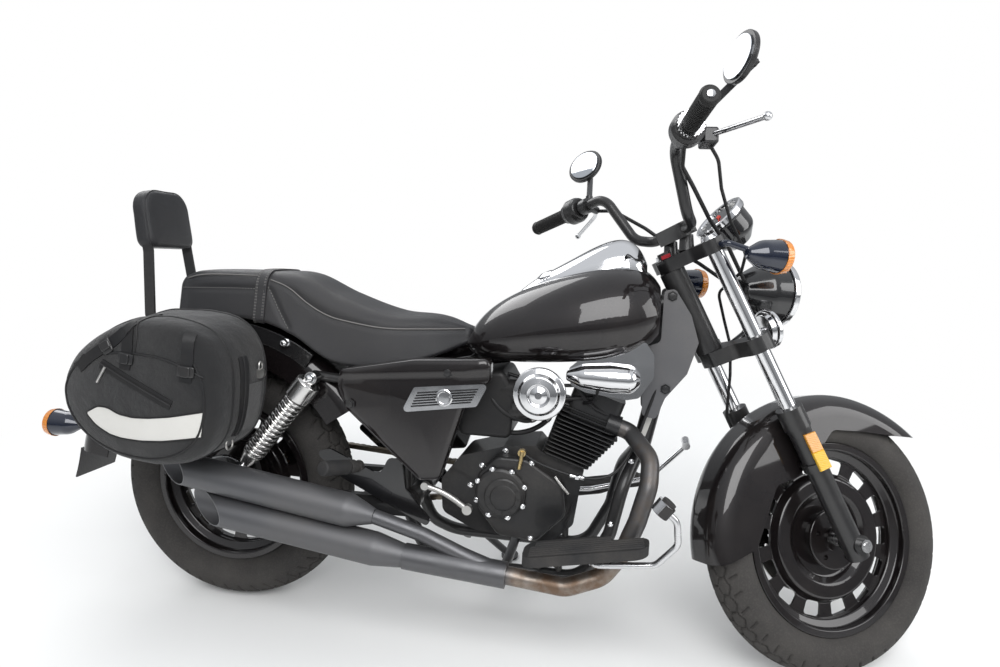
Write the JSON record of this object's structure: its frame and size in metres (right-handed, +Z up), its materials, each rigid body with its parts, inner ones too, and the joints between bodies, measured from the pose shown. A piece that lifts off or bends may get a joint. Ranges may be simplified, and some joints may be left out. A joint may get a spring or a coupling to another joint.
{
  "type": "cruiser motorcycle",
  "caption": "Cruiser motorcycle on its side stand: forward-leaning finned engine, stacked exhausts, soft saddlebags, backrest and pressed wheels; it steers, rolls and folds its stand.",
  "frame": {"origin": "centre of the bounding box at ground level", "axes": "+X forward along the machine, +Y to its left, +Z up; the machine leans about 11 degrees to its left on the side stand and its fork is turned to the left stop"},
  "size_m": [2.1575, 0.8422, 1.3649],
  "materials": {
    "frame_black": "satin black enamel, dusty",
    "neck_grey": "semi-matt grey with fine scratches",
    "body_paint": "dark brown-black metallic, glossy",
    "bright_chrome": "polished chrome",
    "seat_vinyl": "black grained vinyl with pale stitching",
    "rail_black": "gloss black",
    "engine_black": "black heat paint, dusty between the fins",
    "header_steel": "heat-tinted steel with rust",
    "muffler_grey": "satin dark grey, tinted at the joints",
    "spring_chrome": "chromed springs and shrouds",
    "axle_steel": "plated steel",
    "chain_steel": "oiled steel",
    "gloss_black": "gloss black",
    "peg_rubber": "ribbed black rubber",
    "bag_textile": "black woven textile",
    "lamp_black": "blue-black shell with an amber lens",
    "lens_red": "red lens",
    "tyre_rubber": "worn, dusty rubber",
    "wheel_black": "satin black",
    "disc_steel": "ground steel",
    "fork_black": "satin black",
    "grip_rubber": "black rubber",
    "lever_black": "black anodised",
    "lever_silver": "polished aluminium",
    "cable_black": "black sheathing",
    "caliper_grey": "cast grey"
  },
  "bodies": {
    "chassis": {"air_box": "cable_black", "air_cover": "bright_chrome", "backrest_bars": "frame_black", "backrest_pad": "seat_vinyl", "bracket_plates": "gloss_black", "coil_cover": "bright_chrome", "crankcase": "engine_black", "drive_chain": "chain_steel", "engine_cylinder": "engine_black", "exhaust_pipes": "header_steel", "fender_rails": "rail_black", "footboards": "peg_rubber", "frame": "frame_black", "fuel_tank": "body_paint", "mufflers": "muffler_grey", "neck_plates": "neck_grey", "passenger_pegs": "peg_rubber", "pedals": "frame_black", "rear_axle": "axle_steel", "rear_fender": "body_paint", "rear_indicators": "lamp_black", "saddlebag_left": "bag_textile", "saddlebag_right": "bag_textile", "seat": "seat_vinyl", "shock_absorbers": "spring_chrome", "side_badges": "bright_chrome", "side_covers": "body_paint", "swingarm": "frame_black", "tail_lamp": "lens_red", "tank_console": "bright_chrome"},
    "fork_assembly": {"bar_clamp": "frame_black", "brake_caliper": "caliper_grey", "control_cables": "cable_black", "fork_sliders": "fork_black", "fork_tubes": "bright_chrome", "front_axle": "axle_steel", "front_fender": "body_paint", "front_indicators": "lamp_black", "grips": "grip_rubber", "handlebar": "frame_black", "headlight": "gloss_black", "headlight_rim": "bright_chrome", "horn": "bright_chrome", "lever_perches": "lever_black", "levers": "lever_silver", "lower_clamp": "frame_black", "mirrors": "frame_black", "speedometer": "gloss_black", "switch_housings": "frame_black", "upper_clamp": "frame_black"},
    "front_wheel_assembly": {"front_tyre": "tyre_rubber", "front_wheel": "wheel_black", "front_brake_disc": "disc_steel"},
    "rear_wheel_assembly": {"rear_tyre": "tyre_rubber", "rear_wheel": "wheel_black", "rear_sprocket": "chain_steel"},
    "stand": {"side_stand": "frame_black"}
  },
  "joints": [
    {"name": "steering", "type": "hinge", "parent": "chassis", "child": "fork_assembly", "pos_m": [0.46951, -0.02859, 0.7819], "axis": [-0.4733, 0.1681, 0.8647], "range_deg": [-58, 0]},
    {"name": "front_wheel_spin", "type": "hinge", "parent": "fork_assembly", "child": "front_wheel_assembly", "pos_m": [0.80049, -0.09559, 0.28222], "axis": [-0.4271, 0.8148, -0.3921], "continuous": true},
    {"name": "rear_wheel_spin", "type": "hinge", "parent": "chassis", "child": "rear_wheel_assembly", "pos_m": [-0.64274, -0.12177, 0.30255], "axis": [0, 0.9816, -0.1908], "continuous": true},
    {"name": "side_stand_fold", "type": "hinge", "parent": "chassis", "child": "stand", "pos_m": [-0.05123, -0.00699, 0.16453], "axis": [0.2143, 0.7772, 0.5917], "range_deg": [0, 104]}
  ]
}
